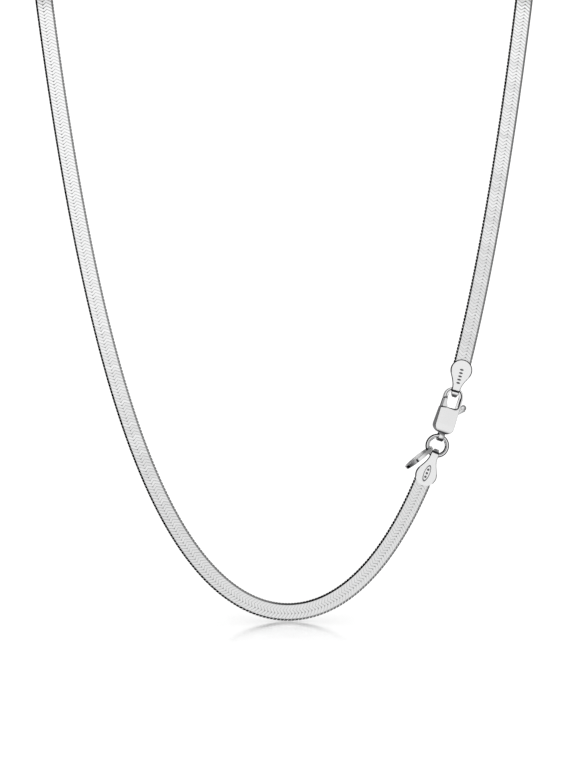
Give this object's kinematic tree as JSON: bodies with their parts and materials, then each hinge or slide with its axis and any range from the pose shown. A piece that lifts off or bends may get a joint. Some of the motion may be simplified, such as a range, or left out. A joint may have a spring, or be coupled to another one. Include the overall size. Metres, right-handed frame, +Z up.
{
  "type": "flat snake chain necklace",
  "caption": "Flat herringbone snake chain necklace in silver, hanging as worn, closed at the front by a lobster clasp, jump ring and pear-shaped end tabs.",
  "frame": {"origin": "neck side of the chain at the middle of the nape, where the necklace hangs", "axes": "+Z up, the front drape faces -Y, +X to the viewer's right as seen from the front"},
  "size_m": [0.1264, 0.0919, 0.1628],
  "materials": {
    "chain_silver": "polished sterling silver links",
    "tab_silver": "polished sterling silver sheet",
    "clasp_silver": "polished sterling silver casting",
    "lever_silver": "polished sterling silver",
    "ring_silver": "polished sterling silver wire"
  },
  "bodies": {
    "necklace": {"snake_chain": "chain_silver", "upper_tab": "tab_silver", "lower_tab": "tab_silver", "clasp_body": "clasp_silver", "jump_ring": "ring_silver", "side_ring": "ring_silver"},
    "lever": {"clasp_lever": "lever_silver"}
  },
  "joints": [
    {"name": "lever_hinge", "type": "hinge", "parent": "necklace", "child": "lever", "pos_m": [0.04077, -0.08204, -0.10985], "axis": [-0.2454, 0.968, -0.0531], "range_deg": [0, 22], "stiffness_Nm_per_rad": 0.01, "springref_deg": -17.19}
  ]
}
